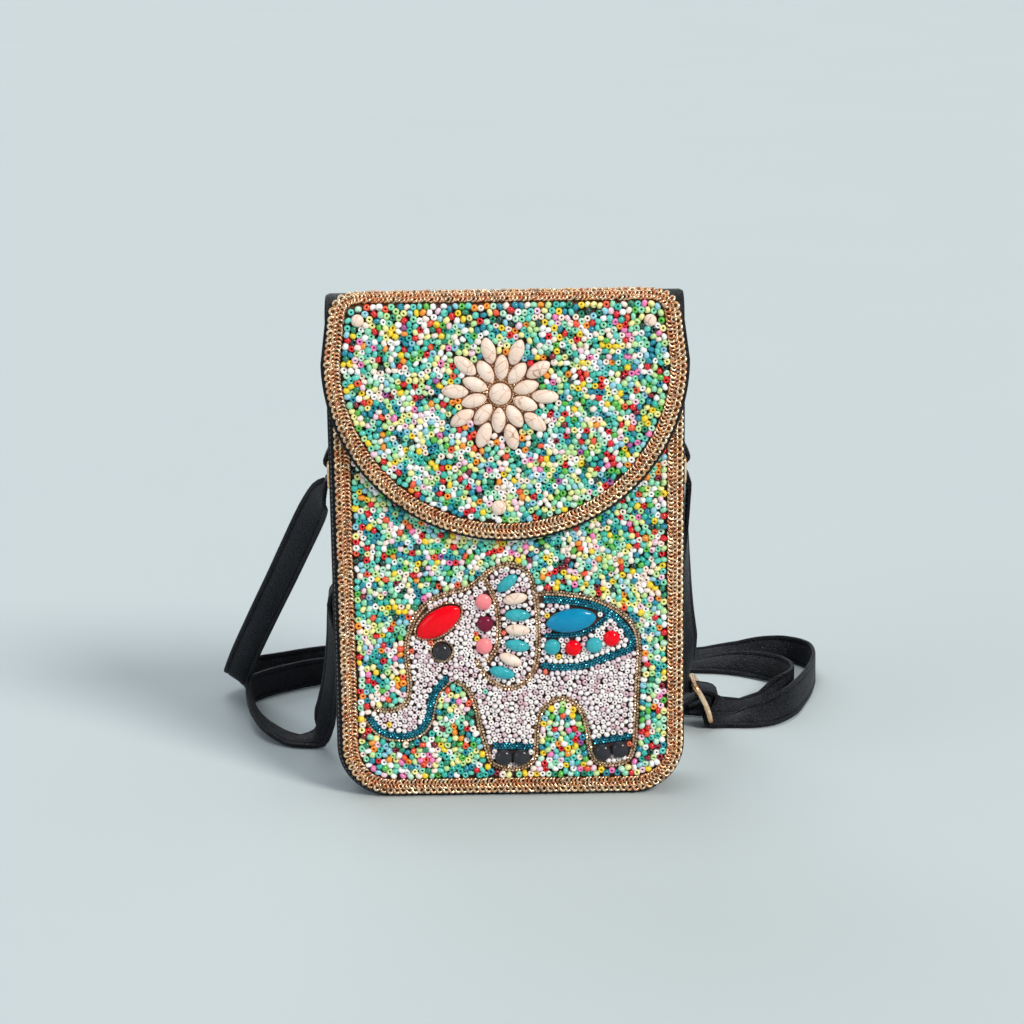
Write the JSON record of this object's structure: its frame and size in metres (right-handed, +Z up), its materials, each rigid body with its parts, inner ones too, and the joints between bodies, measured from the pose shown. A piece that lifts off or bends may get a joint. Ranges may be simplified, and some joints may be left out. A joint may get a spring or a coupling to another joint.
{
  "type": "crossbody phone bag",
  "caption": "Slim upright leather phone pouch with a half-round flap, beadwork of an elephant and a flower, chain borders and a long adjustable shoulder strap.",
  "frame": {"origin": "middle of the flat base, on the surface that the bag stands on", "axes": "+Z up, -Y out of the beaded front, +X to the right as the front is seen"},
  "size_m": [0.2526, 0.1824, 0.1916],
  "materials": {
    "leather": "fine-grained, semi-gloss",
    "gold_metal": "polished plating",
    "old_gold_metal": "worn plating",
    "teal_metal": "coloured plating",
    "cream_stone": "polished",
    "teal_stone": "polished",
    "red_stone": "glossy",
    "blue_stone": "polished",
    "pink_stone": "polished",
    "dark_red_stone": "polished",
    "charcoal_stone": "polished",
    "seed_beads": "opaque glass, many colours"
  },
  "bodies": {
    "root": {"front_panel": "leather", "back_panel": "leather", "gusset": "leather", "flap": "leather", "strap": "leather", "ring_tab_right": "leather", "ring_tab_left": "leather", "ring_right": "gold_metal", "ring_left": "gold_metal", "slide": "gold_metal", "panel_chain": "gold_metal", "flap_chain": "gold_metal", "magnet_snap": "old_gold_metal", "elephant_outline": "old_gold_metal", "trunk_trim": "teal_metal", "saddle_trim": "teal_metal", "foot_front": "charcoal_stone", "foot_back": "charcoal_stone", "eye_bead": "charcoal_stone", "flap_bead_left": "cream_stone", "flap_bead_right": "cream_stone", "flap_bead_tip": "cream_stone", "flower_centre": "cream_stone", "inner_petal_01": "cream_stone", "outer_petal_01": "cream_stone", "inner_petal_02": "cream_stone", "outer_petal_02": "cream_stone", "inner_petal_03": "cream_stone", "outer_petal_03": "cream_stone", "inner_petal_04": "cream_stone", "outer_petal_04": "cream_stone", "inner_petal_05": "cream_stone", "outer_petal_05": "cream_stone", "inner_petal_06": "cream_stone", "outer_petal_06": "cream_stone", "inner_petal_07": "cream_stone", "outer_petal_07": "cream_stone", "inner_petal_08": "cream_stone", "outer_petal_08": "cream_stone", "inner_petal_09": "cream_stone", "outer_petal_09": "cream_stone", "inner_petal_10": "cream_stone", "outer_petal_10": "cream_stone", "cheek_bead_01": "pink_stone", "cheek_bead_02": "dark_red_stone", "cheek_bead_03": "pink_stone", "saddle_bead_01": "teal_stone", "saddle_bead_02": "red_stone", "saddle_bead_03": "teal_stone", "saddle_bead_04": "red_stone", "brow_stone": "red_stone", "saddle_stone": "blue_stone", "ear_stone_01": "teal_stone", "ear_stone_02": "cream_stone", "ear_stone_03": "teal_stone", "ear_stone_04": "cream_stone", "ear_stone_05": "teal_stone", "ear_stone_06": "cream_stone", "ear_stone_07": "teal_stone"}
  },
  "joints": []
}
